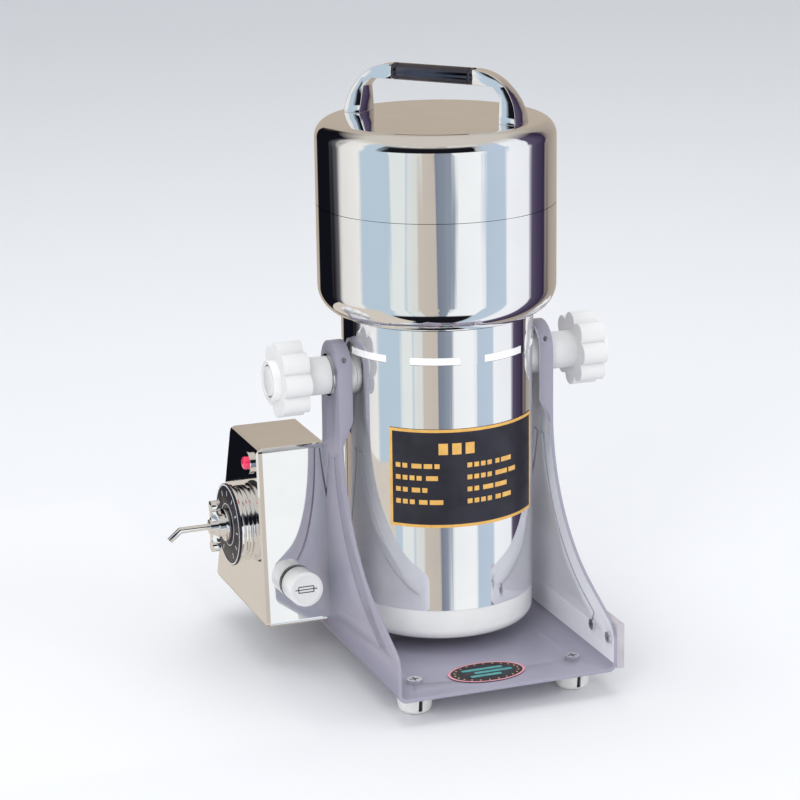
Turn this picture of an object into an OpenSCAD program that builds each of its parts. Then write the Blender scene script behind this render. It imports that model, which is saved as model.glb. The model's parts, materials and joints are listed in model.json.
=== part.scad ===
// Tilting high-speed hammer mill on a bent sheet stand.
// Origin: on the bench, below the mill's axis. +X along the pivots, +Y back, +Z up. Millimetres.

/* [Stand] */
// Gap between the motor housing and an arm
side_gap = 9; // [8.5:0.5:16]
// Depth of the base plate
base_depth = 210; // [180:1:260]
// Sheet thickness of the stand
sheet_t = 2; // [1.5:0.1:3]
// Outside radius of the bends between base and arms
bend_r = 5; // [4:0.5:8]
// Least gap between the swinging bottom cap and the base plate
swing_gap = 0.8; // [0.5:0.1:20]
// Half width of an arm at its top
arm_half_w = 15.5; // [15.5:0.5:18]
// Height of the round arm top's centre above the pivot
arm_top_rise = 4; // [3:0.5:6]
// Depth below the pivot at which the arm starts to flare
flare_drop = 32.5; // [20:0.5:45]
// Radius of the flare
flare_r = 95; // [70:1:100]
// Height of the lower corner's centre above the base plate
edge_rise = 15.1; // [12:0.1:22]
// Radius of the corner where the flare meets the base's depth
corner_r = 12; // [6:1:16]
// Width of the arms' turned-in rim
rim_w = 8; // [5:0.5:8]
// Depth of the rim's lower end below the pivot
rim_drop = 38.5; // [25:0.5:45]
// Width of the pressed rib that follows the arm's edge
rib_w = 5; // [3:0.5:7]
// Depth of the pressed rib
rib_depth = 0.8; // [0.4:0.1:1.2]
// Distance from the arm's edge to the rib
rib_inset = 9.5; // [7:0.5:11]

/* [Feet] */
// Height of a foot
foot_h = 14; // [8:1:25]
// Diameter of a foot
foot_d = 22; // [16:1:30]
// Distance of a foot's axis from the stand's side
foot_side = 17.5; // [17:0.5:30]
// Distance of a foot's axis from the base's front or back edge
foot_end = 22; // [17:0.5:40]

/* [Mill] */
// Outside diameter of chamber and lid
chamber_d = 135; // [124:1:145]
// Outside diameter of the motor housing
motor_d = 108; // [96:1:110]
// Sheet thickness of chamber and lid
shell_t = 2.2; // [1.5:0.1:3]
// Wall of the motor housing
housing_t = 1.5; // [1:0.1:2]
// Height of the chamber's underside above the pivot
bowl_low = 32; // [30:1:45]
// Height of the seam between chamber and lid above the pivot
seam_rise = 94.5; // [85:0.5:110]
// Height of the lid's top above the pivot
lid_rise = 141.5; // [130:0.5:160]
// Radius of the chamber's lower corner
bowl_corner_r = 16; // [8:1:18]
// Radius of the lid's upper corner
lid_corner_r = 10; // [6:1:12]
// Height of the neck collar's lower edge above the pivot
neck_rise = 12.5; // [12.5:0.5:16]
// Vent notches in the collar
notch_count = 8; // [4:1:10]
// Arc of one vent notch, degrees
notch_arc = 30; // [15:1:32]
// Height of a vent notch
notch_h = 4.5; // [2:0.5:6]
// Depth of the housing's lower edge below the pivot
housing_drop = 130.5; // [120:0.5:134]
// Depth of the bottom cap's underside below the pivot
cap_drop = 149; // [142:0.5:149]
// Corner radius of the bottom cap
cap_corner_r = 6; // [6:0.5:10]

/* [Lid handle] */
// Turn of the handle about the mill's axis, degrees
handle_turn = -50; // [-180:5:180]
// Height of the grip's axis above the lid
grip_rise = 24; // [20:1:35]
// Diameter of the grip tube
grip_d = 9.6; // [8:0.2:14]
// Distance of a leg's outer face from the lid's rounded corner
leg_margin = 3.5; // [1:0.5:6]
// Thickness of a leg at its foot
leg_w = 10; // [8:0.5:12]
// Breadth of a leg at its foot
leg_depth = 17; // [12:1:22]

/* [Knobs] */
// Diameter over the knob's lobes
knob_d = 43; // [36:1:46]
// Lobes on a knob
knob_lobes = 8; // [6:1:9]
// Diameter of the knob's stem
stem_d = 21.5; // [18:0.5:24]
// Length of the knob's stem
stem_l = 15.4; // [10:0.2:24]
// Thickness of the lobed head
knob_t = 15; // [10:1:20]
// Height of the knob's end cap
knob_cap_t = 4.5; // [2:0.5:7]
// Diameter of the clamping stud
stud_d = 10; // [8:0.5:12]
// Diameter of the pivot journal
journal_d = 16; // [14:0.5:17]
// Diameter of the pivot boss
boss_d = 24; // [22:0.5:24]

/* [Control box] */
// Width of the box, outwards from the arm
box_w = 40; // [34:1:60]
// Height of the box's underside above the base
box_low = 9; // [5:1:20]
// Height of the box
box_h = 105; // [95:1:115]
// Front edge at the top, behind the pivot plane
box_front_top = 13.5; // [10:0.5:20]
// Front edge at the bottom
box_front_low = 5.5; // [0:0.5:12]
// Back edge at the top
box_back_top = 68; // [64:1:80]
// Back edge at the bottom
box_back_low = 107; // [95:1:110]
// Sheet thickness of the box
box_t = 1.2; // [0.8:0.1:2]
// Radius of the box's outer edges
box_r = 3; // [2:0.5:5]
// Timer dial diameter
dial_d = 48; // [36:1:50]
// Timer axis, behind the pivot plane
dial_y = 46; // [42:1:52]
// Timer axis, above the box's underside
dial_z = 52; // [45:1:56]
// Height of the timer's drum off the box
drum_h = 7.5; // [5:0.5:10]
// Diameter of the pilot lamp's bezel
lamp_d = 13; // [9:0.5:16]
// Lamp axis, behind the pivot plane
lamp_y = 27; // [24:1:32]
// Lamp axis, above the box's underside
lamp_z = 94; // [90:1:97]
// Diameter of the fuse cap
fuse_cap_d = 20; // [14:0.5:22]
// How far the fuse cap stands out
fuse_cap_l = 17; // [10:0.5:20]
// Fuse axis, outwards from the arm
fuse_x = 20; // [17:0.5:26]
// Fuse axis, above the box's underside
fuse_z = 25; // [18:1:32]

/* [Shaft and blades] */
// Shaft diameter
shaft_d = 10; // [8:0.5:12]
// Outside diameter of the bearings
bearing_d = 26; // [22:1:30]
// Gap between the hammer bar's tip and the chamber wall
hammer_gap = 9.3; // [8:0.1:20]
// Gap between the cutting blade's tip and the chamber wall
blade_gap = 15.3; // [8:0.1:25]
// Bore of the mains cable gland
gland_bore = 8; // [6:0.5:10]

/* [Hidden] */
$fn = 72;
run_gap = 0.05;
fit_gap = 0.3;
eps = 0.01;

chamber_r = chamber_d / 2;
motor_r = motor_d / 2;
cap_r = motor_r - 0.5;
swing_r = norm([cap_r - cap_corner_r, cap_drop - cap_corner_r]) + cap_corner_r;
pivot_rise = ceil(2 * (swing_r + swing_gap)) / 2;
arm_in = motor_r + side_gap;
arm_x = arm_in + sheet_t;
base_top = foot_h + sheet_t;
pivot_z = base_top + pivot_rise;
half_depth = base_depth / 2;
bend_top = foot_h + bend_r + 5;
foot_x = arm_x - foot_side;
foot_y = half_depth - foot_end;
flare_z = pivot_z - flare_drop;
arm_top_z = pivot_z + arm_top_rise;
rim_low_z = pivot_z - rim_drop;
lap = sheet_t / 2;
rim_hole_d = 3;
rim_hole_rise = 11;
rim_taper = 14;
rib_from = 8;
rib_run = 14;

motor_in_r = motor_r - housing_t;
seat_r = motor_in_r - 0.1;
collar_r = motor_r + 0.5;
bowl_z = pivot_z + bowl_low;
seam_z = pivot_z + seam_rise;
lid_z = pivot_z + lid_rise;
neck_z = pivot_z + neck_rise;
housing_z = pivot_z - housing_drop;
cap_z = pivot_z - cap_drop;
cap_wall = 3;
cap_spigot_h = 9;
cap_sink = 3.5;
lead_r = 5;
lead_rise = 12;
spigot_h = 13;
spigot_t = 2.2;
spigot_r = chamber_r - shell_t - fit_gap;
gasket_t = 2.5;
gasket_z = seam_z + spigot_h;

boss_end = arm_in - 1.1;
journal_end = arm_x - 0.1;
washer_t = 1.5;
washer_x = arm_x + 0.1;
knob_x = washer_x + washer_t + 0.1;
stud_in = boss_end - 7;
stud_in_head = 8;

box_z = base_top + box_low;
box_top = box_z + box_h;
box_x = arm_x + box_w;
box_lean = atan((box_front_top - box_front_low) / box_h);
back_lean = atan((box_back_low - box_back_top) / box_h);
dial_at = box_z + dial_z;
dial_t = 1.6;
timer_neck_r = 5.4;
timer_size = [20, 40, 40];
drum_x = box_x + drum_h;
knob_face = drum_x + dial_t;
lamp_at = box_z + lamp_z;
fuse_at = box_z + fuse_z;
fuse_y = box_front_low + (box_front_top - box_front_low) * fuse_z / box_h;
fuse_body_l = 42;
fuse_body_r = 7;
fuse_tube_d = 6.3;
gland_rise = 14;
grommet_y = 30;
grommet_z = base_top + 30;
grommet_hole = 12;
grommet_lip = 2;
gland_wall = 3;
gland_flange = 5;
gland_out = 12;

// Screws: shank diameter, length under the head, head diameter, head height.
foot_screw = [4, 8, 8.6, 2.4];
pad_screw = [3, 5, 6.4, 1.8];
mount_screw = [4, 7, 7.6, 2.2];
cover_screw = [2.9, 6, 5.6, 1.7];
handle_screw = [5, 11, 9.5, 3];
cap_screw_d = 4;
cap_screw_head = [7, 2.4];
screw_gap = 0.2;
bush_t = 1.5;

shaft_r = shaft_d / 2;
bearing_r = bearing_d / 2;
bearing_t = 8;
core_low = housing_z + 53;
core_h = 50;
armature_r = 27;
stator_bore = armature_r + 0.6;
winding_in = 33;
winding_out = seat_r - 7.4;
winding_arc = 96;
winding_over = 10;
upper_plate_z = neck_z - 16;
lower_plate_z = housing_z + 15;
plate_t = 4;
vent_at = 33;
vent_r = 7.5;
commutator_z = lower_plate_z + 9;
commutator_r = 13;
brush_z = commutator_z + 7;
fan_z = upper_plate_z + plate_t + 4;
fan_r = motor_r - 14;
fan_h = 8;
deflector_z = fan_z + fan_h + 2;
deflector_r = collar_r - 7.5;
bowl_floor = bowl_z + shell_t;
hammer_l = 2 * (chamber_r - shell_t - hammer_gap);
blade_l = 2 * (chamber_r - shell_t - blade_gap);
bar_w = 16;
hammer_head = 10;
hammer_z = bowl_floor + 8;
hammer_t = 4;
blade_z = hammer_z + hammer_t + 9;
blade_t = 2.5;
nut_z = blade_z + blade_t;
nut_h = 7;
shaft_low = lower_plate_z - 6;
shaft_high = nut_z + nut_h + 3;
seal_r = 11;

grip_z = lid_z + grip_rise;
bar_r = grip_d / 2 - 0.6;
leg_out = chamber_r - lid_corner_r - leg_margin;
leg_in = leg_out - leg_w;
leg_arc_r = grip_rise + bar_r;
grip_half = leg_out - leg_arc_r - fit_gap;

chrome_c = [0.82, 0.83, 0.85];
steel_c = [0.68, 0.69, 0.71];
paint_c = [0.55, 0.54, 0.62];
white_c = [0.93, 0.93, 0.92];
black_c = [0.08, 0.08, 0.09];
dark_c = [0.24, 0.24, 0.27];
copper_c = [0.72, 0.38, 0.18];
alu_c = [0.74, 0.75, 0.77];

// ---- helpers ----

// Points of a circular arc about c, from angle a to angle b.
function arc(c, r, a, b, n = 12) =
    [for (i = [0:n]) c + r * [cos(a + (b - a) * i / n), sin(a + (b - a) * i / n)]];

// The same points in reverse order, and mirrored to the other side in reverse order.
function back(p) = [for (i = [len(p) - 1:-1:0]) p[i]];
function across(p) = [for (q = back(p)) [-q[0], q[1]]];

// Extrusion along X of an outline drawn in the YZ plane.
module along_x(x0, x1) {
    translate([x0, 0, 0]) rotate([90, 0, 90]) linear_extrude(x1 - x0) children();
}

module both_sides() {
    children();
    mirror([1, 0, 0]) children();
}

module rod_x(r, x0, x1) {
    translate([x0, 0, 0]) rotate([0, 90, 0]) cylinder(r = r, h = x1 - x0);
}

module ring(r1, r0, h) {
    difference() {
        cylinder(r = r1, h = h);
        translate([0, 0, -1]) cylinder(r = r0, h = h + 2);
    }
}

module at_pivot() {
    translate([0, 0, pivot_z]) children();
}

module at_feet() {
    for (x = [-foot_x, foot_x], y = [-foot_y, foot_y]) translate([x, y, 0]) children();
}

// Pan-head screw pointing down from the origin, its head above it.
module pan_screw(size) {
    head_d = size[2];
    head_h = size[3];
    slot_l = head_d * 0.6;
    slot_w = head_d * 0.12;
    difference() {
        union() {
            translate([0, 0, -size[1]]) cylinder(d = size[0], h = size[1] + eps);
            cylinder(d = head_d, h = head_h);
        }
        for (a = [0, 90]) rotate([0, 0, a])
            translate([-slot_l / 2, -slot_w / 2, head_h / 2]) cube([slot_l, slot_w, head_h]);
    }
}

// ---- stand ----

// One side of an arm's outline, in the YZ plane: lower corner, straight edge, flare.
// The straight edge is the tangent between the corner's circle and the flare's.
flare_c = [arm_half_w + flare_r, flare_z];
corner_c = [half_depth - corner_r, base_top + edge_rise];
to_flare = flare_c - corner_c;
flare_angle = atan2(to_flare[1], to_flare[0]) - acos((flare_r + corner_r) / norm(to_flare));
line_n = [cos(flare_angle), sin(flare_angle)];
arm_side = concat(
    [[half_depth, bend_top - 1]],
    arc(corner_c, corner_r, 0, flare_angle, 8),
    arc(flare_c, flare_r, 180 + flare_angle, 180, 16)
);

module arm_outline() {
    polygon(concat(arm_side, arc([0, arm_top_z], arm_half_w, 0, 180, 24), across(arm_side)));
}

// Band that follows the edge at the given inset, drawn on both halves.
module rib_band(inset, w) {
    end_n = flare_c - (flare_r + inset) * line_n;
    along = rib_run * [line_n[1], -line_n[0]];
    for (side = [0, 1]) mirror([side, 0]) polygon(concat(
        arc(flare_c, flare_r + inset, 180 + rib_from, 180 + flare_angle, 14),
        [end_n + along, end_n + along - w * line_n],
        arc(flare_c, flare_r + inset + w, 180 + flare_angle, 180 + rib_from, 14)
    ));
}

// Outline of an arm's straight sides and round top, inset by a distance and open below.
module rim_outline(inset) {
    r = arm_half_w - inset;
    polygon(concat([[r, rim_low_z - inset]], arc([0, arm_top_z], r, 0, 180, 24), [[-r, rim_low_z - inset]]));
}

module arm_rim() {
    rim_in = arm_x - rim_w;
    difference() {
        along_x(rim_in, arm_in + lap) difference() {
            rim_outline(0);
            rim_outline(sheet_t);
        }
        translate([0, half_depth, 0]) rotate([90, 0, 0]) linear_extrude(base_depth)
            polygon([[rim_in - 1, rim_low_z - 1], [arm_in, rim_low_z - 1], [arm_in, rim_low_z],
                     [rim_in, rim_low_z + rim_taper], [rim_in - 1, rim_low_z + rim_taper]]);
        translate([arm_x - rim_w / 2, 0, pivot_z + rim_hole_rise]) rotate([90, 0, 0])
            cylinder(d = rim_hole_d, h = base_depth);
    }
}

// Cross-section of the bent base: a flat with a quarter bend up into each arm.
module base_section() {
    bend_c = [arm_x - bend_r, foot_h + bend_r];
    outside = concat([[arm_x, bend_top]], arc(bend_c, bend_r, 0, -90, 8));
    inside = concat([[arm_in, bend_top]], arc(bend_c, bend_r - sheet_t, 0, -90, 8));
    polygon(concat(outside, across(outside), back(concat(inside, across(inside)))));
}

module stand_frame() {
    color(paint_c) difference() {
        union() {
            translate([0, half_depth, 0]) rotate([90, 0, 0]) linear_extrude(base_depth) base_section();
            both_sides() {
                along_x(arm_in, arm_x) arm_outline();
                along_x(arm_in - rib_depth, arm_in + lap) rib_band(rib_inset, rib_w);
                arm_rim();
            }
        }
        both_sides() {
            along_x(arm_x - rib_depth, arm_x + 1) rib_band(rib_inset + 1, rib_w - 2);
            at_pivot() rod_x(journal_d / 2 + bush_t, arm_in - 1, arm_x + 1);
        }
        at_feet() translate([0, 0, foot_h - 1]) cylinder(r = foot_screw[0] / 2 + screw_gap, h = sheet_t + 2);
        for (p = pad_screw_spots) translate([0, p[0], p[1]])
            rod_x(pad_screw[0] / 2 + screw_gap, arm_in - 2, arm_x + 1);
        for (p = box_screw_spots) translate([0, p[0], p[1]])
            rod_x(mount_screw[0] / 2 + screw_gap, -arm_x - 1, -arm_in + 2);
        translate([0, grommet_y, grommet_z]) rod_x(grommet_hole / 2, -arm_x - 1, -arm_in + 2);
    }
}

module rubber_feet() {
    edge = 0.5;
    slot_w = 2;
    slot_deep = 3;
    hole_deep = foot_screw[1] - sheet_t;
    color(white_c) at_feet() difference() {
        rotate_extrude() polygon(concat(
            [[0, 0]], arc([foot_d / 2 - edge, edge], edge, -90, 0, 4),
            [[foot_d / 2, foot_h], [0, foot_h]]
        ));
        translate([0, 0, foot_h - hole_deep])
            cylinder(r = foot_screw[0] / 2 + screw_gap / 2, h = hole_deep + 1);
        translate([-slot_w / 2, -foot_d / 2 - 1, 2]) cube([slot_w, slot_deep + 1, foot_h - 3]);
    }
}

module foot_screws() {
    color(steel_c) at_feet() translate([0, 0, base_top]) pan_screw(foot_screw);
}

module base_badge() {
    badge_w = 45;
    badge_d = 28;
    badge_t = 0.6;
    badge_x = -5;
    badge_inset = 21;
    n = 72;
    color([0.12, 0.13, 0.13]) translate([badge_x, badge_inset - half_depth, base_top]) linear_extrude(badge_t)
        polygon([for (i = [0:n - 1]) [badge_w / 2 * cos(i * 360 / n), badge_d / 2 * sin(i * 360 / n)]]);
}

pad_t = 4.5;
pad_l = 34;
pad_h = 26;
pad_screw_rise = base_top + 17;
pad_screw_spots = [[5 - half_depth, pad_screw_rise], [pad_l - 7 - half_depth, pad_screw_rise]];

module side_pad() {
    color([0.72, 0.68, 0.7]) difference() {
        translate([arm_x, -half_depth, base_top - 0.5]) cube([pad_t, pad_l, pad_h]);
        for (p = pad_screw_spots) translate([0, p[0], p[1]])
            rod_x(pad_screw[0] / 2 + screw_gap / 2, arm_x - 1, arm_x + pad_t - 1);
    }
}

module side_pad_screws() {
    color(steel_c) for (p = pad_screw_spots)
        translate([arm_in, p[0], p[1]]) rotate([0, -90, 0]) pan_screw(pad_screw);
}

module pivot_bushes() {
    color(white_c) both_sides() at_pivot() difference() {
        union() {
            rod_x(journal_d / 2 + bush_t, arm_in - eps, arm_x);
            rod_x(journal_d / 2 + 2 * bush_t, arm_in - 1, arm_in);
        }
        rod_x(journal_d / 2 + run_gap, arm_in - 2, arm_x + 1);
    }
}

// ---- control box ----

// Side outline of the box, in the YZ plane, with rounded corners, shrunk by s on every edge.
module box_round(s = 0) {
    low = box_z + box_r;
    high = box_top - box_r;
    front = box_r / cos(box_lean);
    back = box_r / cos(back_lean);
    hull() for (z = [low, high]) {
        translate([box_front_low + (z - box_z) * tan(box_lean) + front, z]) circle(r = box_r - s, $fn = 32);
        translate([box_back_low - (z - box_z) * tan(back_lean) - back, z]) circle(r = box_r - s, $fn = 32);
    }
}

module box_back_plate() {
    color(steel_c) difference() {
        along_x(-arm_x - box_t, -arm_x) box_round(box_t + 0.1);
        for (p = box_screw_spots) translate([0, p[0], p[1]])
            rod_x(mount_screw[0] / 2 + screw_gap / 2, -arm_x - 3, -arm_x + 1);
        translate([0, grommet_y, grommet_z]) rod_x(grommet_hole / 2, -arm_x - 3, -arm_x + 1);
    }
}

// Screws of the box, clear of the arm's ribs.
box_screw_spots = [[22, box_z + 10], [60, box_z + 10], [21, box_z + 40]];

module box_cover() {
    color(chrome_c) difference() {
        union() {
            along_x(-box_x + box_r, -arm_x) box_round();
            hull() {
                along_x(-box_x + box_r, -box_x + box_r + 1) box_round();
                along_x(-box_x + box_r * 0.3, -box_x + box_r) box_round(box_r * 0.3);
                along_x(-box_x, -box_x + 1) box_round(box_r * 0.9);
            }
        }
        along_x(-box_x + box_t, -arm_x + 1) box_round(box_t);
        translate([-box_x - 1, dial_y, dial_at]) rotate([0, 90, 0]) cylinder(r = timer_neck_r + 0.1, h = 4);
        translate([-box_x - 1, lamp_y, lamp_at]) rotate([0, 90, 0]) cylinder(r = lamp_d / 2 - 2, h = 4);
        on_box_front() translate([0, 0, -4]) cylinder(r = fuse_body_r, h = 8);
        on_box_back() translate([0, 0, -4]) cylinder(r = gland_bore / 2 + gland_wall, h = 8);
        for (s = cover_screw_spots) on_box_back(s) translate([0, 0, -4])
            cylinder(r = cover_screw[0] / 2 + 0.05, h = 8);
    }
}

// Frame on the box's front face: +Z out of the face at the fuse's axis.
module on_box_front() {
    translate([-arm_x - fuse_x, fuse_y, fuse_at]) rotate([90 - box_lean, 0, 0]) children();
}

// Frame on the box's sloping back face: +Z out of the face, at height z above the box's underside.
cover_screw_spots = [[8, 60], [box_w - 8, 60], [8, 92], [box_w - 8, 92]];
module on_box_back(p = [box_w / 2, gland_rise]) {
    translate([-arm_x - p[0], box_back_low - p[1] * tan(back_lean), box_z + p[1]])
        rotate([-90 + back_lean, 0, 0]) children();
}

module box_cover_screws() {
    color(steel_c) for (s = cover_screw_spots) on_box_back(s) pan_screw(cover_screw);
}

module box_mount_screws() {
    color(steel_c) for (p = box_screw_spots)
        translate([-arm_in, p[0], p[1]]) rotate([0, 90, 0]) pan_screw(mount_screw);
}

module wire_grommet() {
    color(black_c) translate([0, grommet_y, grommet_z]) difference() {
        union() {
            rod_x(grommet_hole / 2 + grommet_lip, -arm_in, -arm_in + 1.6);
            rod_x(grommet_hole / 2, -arm_x - box_t, -arm_in + eps);
            rod_x(grommet_hole / 2 + grommet_lip, -arm_x - box_t - 1.6, -arm_x - box_t);
        }
        rod_x(3.5, -arm_x - box_t - 3, -arm_in + 3);
    }
}

module cable_gland() {
    color(black_c) on_box_back() difference() {
        union() {
            translate([0, 0, -box_t - 3])
                cylinder(r = gland_bore / 2 + gland_wall, h = box_t + 3 + gland_out);
            cylinder(r = gland_bore / 2 + gland_flange, h = 3);
            translate([0, 0, -box_t - 4]) cylinder(r = gland_bore / 2 + gland_flange, h = 4);
        }
        translate([0, 0, -10]) cylinder(r = gland_bore / 2, h = 30);
    }
}

module at_dial() {
    translate([0, dial_y, dial_at]) children();
}

module timer_body() {
    color(dark_c) at_dial() difference() {
        union() {
            translate([-box_x + box_t, -timer_size[1] / 2, -timer_size[2] / 2]) cube(timer_size);
            rod_x(timer_neck_r, -drum_x, -box_x + box_t + eps);
        }
        rod_x(3 + run_gap, -drum_x - 1, -box_x + 16);
    }
}

module timer_drum() {
    rings = [[dial_d / 2 - 2, 0, 0.34], [dial_d / 2 - 3.2, 0.34, 0.68], [dial_d / 2 - 1, 0.68, 1]];
    color(chrome_c) at_dial() difference() {
        for (k = rings) rod_x(k[0], -box_x - drum_h * k[2], -box_x - drum_h * k[1] + (k[1] > 0 ? eps : 0));
        rod_x(timer_neck_r + 0.1, -drum_x - 1, -box_x + 1);
    }
}

module timer_dial() {
    color(black_c) at_dial() difference() {
        rod_x(dial_d / 2, -knob_face, -drum_x);
        rod_x(3.4, -knob_face - 1, -drum_x + 1);
    }
}

knob_hub_l = 6;
wing_reach = 12;
lever_l = 17.28;
lever_tip_l = 8.64;
lever_r = 1.8;
lever_bend = 130;

module timer_knob() {
    hub_x = knob_face + 0.2;
    stem_x = hub_x + knob_hub_l + 5;
    elbow_x = stem_x + lever_l;
    color(chrome_c) at_dial() {
        rod_x(3, -hub_x - eps, -box_x + 8);
        rod_x(9.5, -hub_x - 2.2, -hub_x);
        rod_x(6.5, -hub_x - knob_hub_l, -hub_x);
        rod_x(4.2, -stem_x, -hub_x - knob_hub_l + eps);
        for (s = [-1, 1]) {
            translate([-stem_x + 1, -2, s > 0 ? 3 : -wing_reach]) cube([5, 4, wing_reach - 3]);
            translate([-stem_x + 3.5, 0, s * wing_reach]) rotate([0, 90, 0])
                cylinder(r = 3.4, h = 5, center = true);
        }
        rod_x(lever_r, -elbow_x, -stem_x + eps);
        translate([-elbow_x, 0, 0]) sphere(r = lever_r);
        translate([-elbow_x, 0, 0]) rotate([0, -lever_bend, 0]) cylinder(r = lever_r, h = lever_tip_l);
    }
}

module lamp_bezel() {
    color(steel_c) translate([0, lamp_y, lamp_at]) difference() {
        union() {
            rod_x(lamp_d / 2, -box_x - 2, -box_x);
            rod_x(lamp_d / 2 - 2, -box_x - eps, -box_x + 9);
        }
        rod_x(lamp_d / 2 - 2.8, -box_x - 3, -box_x + 7);
    }
}

module lamp_lens() {
    color([0.8, 0.05, 0.12]) translate([0, lamp_y, lamp_at]) {
        rod_x(lamp_d / 2 - 2.8, -box_x - 3, -box_x + 4);
        rod_x(lamp_d / 2 - 3.6, -box_x - 4, -box_x - 3 + eps);
    }
}

module fuse_holder() {
    color(black_c) on_box_front() difference() {
        union() {
            cylinder(r = fuse_body_r + 2, h = 2);
            translate([0, 0, -fuse_body_l]) cylinder(r = fuse_body_r, h = fuse_body_l + eps);
        }
        translate([0, 0, 3 - fuse_body_l]) cylinder(r = fuse_tube_d / 2 + fit_gap, h = fuse_body_l);
    }
}

module fuse_tube() {
    color([0.85, 0.87, 0.85, 0.6]) on_box_front()
        translate([0, 0, 5 - fuse_body_l]) cylinder(r = fuse_tube_d / 2, h = 31);
}

module fuse_cap() {
    edge = 2;
    color(white_c) on_box_front() {
        translate([0, 0, edge + fit_gap]) cylinder(d = fuse_cap_d, h = fuse_cap_l - 2 * edge - fit_gap);
        translate([0, 0, fuse_cap_l - edge - eps])
            cylinder(r1 = fuse_cap_d / 2, r2 = fuse_cap_d / 2 - edge, h = edge);
        translate([0, 0, 36 - fuse_body_l]) cylinder(r = fuse_tube_d / 2, h = fuse_body_l - 33);
    }
}

// ---- mill: chamber, neck and housing ----

module chamber_bowl() {
    in_r = chamber_r - shell_t;
    corner_c = [chamber_r - bowl_corner_r, bowl_z + bowl_corner_r];
    color(chrome_c) rotate_extrude() polygon(concat(
        [[seal_r, bowl_z]],
        arc(corner_c, bowl_corner_r, -90, 0, 14),
        [[chamber_r, seam_z], [spigot_r, seam_z], [spigot_r, gasket_z], [spigot_r - spigot_t, gasket_z],
         [spigot_r - spigot_t, seam_z - 14], [in_r, seam_z - 17]],
        arc(corner_c, bowl_corner_r - shell_t, 0, -90, 14),
        [[seal_r, bowl_floor]]
    ));
}

module neck_collar() {
    color(chrome_c) translate([0, 0, neck_z]) difference() {
        ring(collar_r, collar_r - 2, bowl_z - neck_z);
        for (i = [0:notch_count - 1]) rotate([0, 0, -90 - notch_arc / 2 + (i + 0.5) * 360 / notch_count])
            translate([0, 0, -1]) rotate_extrude(angle = notch_arc)
                translate([collar_r - 4, 0]) square([6, notch_h + 1]);
    }
}

module motor_housing() {
    color(chrome_c) translate([0, 0, housing_z]) ring(motor_r, motor_in_r, neck_z - housing_z);
}

module pivot_bosses() {
    color(white_c) both_sides() at_pivot() difference() {
        union() {
            rod_x(boss_d / 2, motor_r - 6, boss_end);
            rod_x(journal_d / 2, boss_end - eps, journal_end);
        }
        translate([0, 0, -boss_d]) cylinder(r = motor_r, h = 2 * boss_d, $fn = 144);
        translate([0, 0, neck_rise]) cylinder(r = collar_r + 0.1, h = boss_d, $fn = 144);
        rod_x(stud_d / 2 + run_gap, stud_in - 0.5, journal_end + 1);
    }
}

label_arc = 102;
label_low = 81;
label_h = 57;
label_t = 0.5;
module label_plate() {
    color(black_c) translate([0, 0, pivot_z - label_low]) rotate([0, 0, -90 - label_arc / 2])
        rotate_extrude(angle = label_arc) translate([motor_r, 0]) square([label_t, label_h]);
}

cap_screw_r = cap_r - 13.5;
module at_cap_screws() {
    for (a = [30, 150, 270]) rotate([0, 0, a]) translate([cap_screw_r, 0, 0]) children();
}

module bottom_cap() {
    in_r = cap_r - cap_wall;
    vent_w = 3.2;
    color(white_c) difference() {
        union() {
            rotate_extrude() polygon(concat(
                [[0, cap_z]],
                arc([cap_r - cap_corner_r, cap_z + cap_corner_r], cap_corner_r, -90, 0, 10),
                [[cap_r, housing_z], [seat_r, housing_z], [seat_r, housing_z + cap_spigot_h],
                 [in_r - 1, housing_z + cap_spigot_h], [in_r - 1, cap_z + cap_corner_r]],
                arc([cap_r - cap_corner_r - 1, cap_z + cap_corner_r], cap_corner_r - cap_wall, 0, -90, 6),
                [[0, cap_z + cap_wall]]
            ));
            at_cap_screws() translate([0, 0, cap_z + eps])
                cylinder(r = cap_screw_d / 2 + 3, h = lower_plate_z - cap_z - eps);
        }
        at_cap_screws() {
            translate([0, 0, cap_z - 1]) cylinder(r = cap_screw_d / 2 + screw_gap / 2, h = 80);
            translate([0, 0, cap_z - 1]) cylinder(r = cap_screw_head[0] / 2 + 0.3, h = cap_sink + 1);
        }
        for (i = [0:11]) rotate([0, 0, i * 30]) translate([16, -vent_w / 2, cap_z - 1])
            cube([16, vent_w, cap_wall + 2]);
        translate([0, cap_r + 1, cap_z + lead_rise]) rotate([90, 0, 0])
            cylinder(r = lead_r, h = cap_wall + 6);
    }
}

module cap_screws() {
    l = lower_plate_z + plate_t - cap_z - cap_sink - 0.5;
    color(steel_c) at_cap_screws() translate([0, 0, cap_z + cap_sink]) mirror([0, 0, 1])
        pan_screw([cap_screw_d, l, cap_screw_head[0], cap_screw_head[1]]);
}

module motor_lead_gland() {
    lip_r = lead_r + 1;
    color(black_c) translate([0, cap_r - cap_wall, cap_z + lead_rise]) rotate([-90, 0, 0]) difference() {
        union() {
            translate([0, 0, -3.6]) cylinder(r = lip_r, h = 2);
            translate([0, 0, -2]) cylinder(r = lead_r, h = cap_wall + 4);
            translate([0, 0, cap_wall + 0.2]) cylinder(r = lip_r + 0.5, h = 3);
        }
        translate([0, 0, -4]) cylinder(r = lead_r - 2, h = 14);
    }
}

module air_deflector() {
    color(white_c) translate([0, 0, deflector_z]) {
        ring(deflector_r, deflector_r - 1.8, bowl_z - deflector_z);
        translate([0, 0, bowl_z - deflector_z - 1.5]) ring(deflector_r, 30, 1.5);
    }
}

// ---- motor ----

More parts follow.
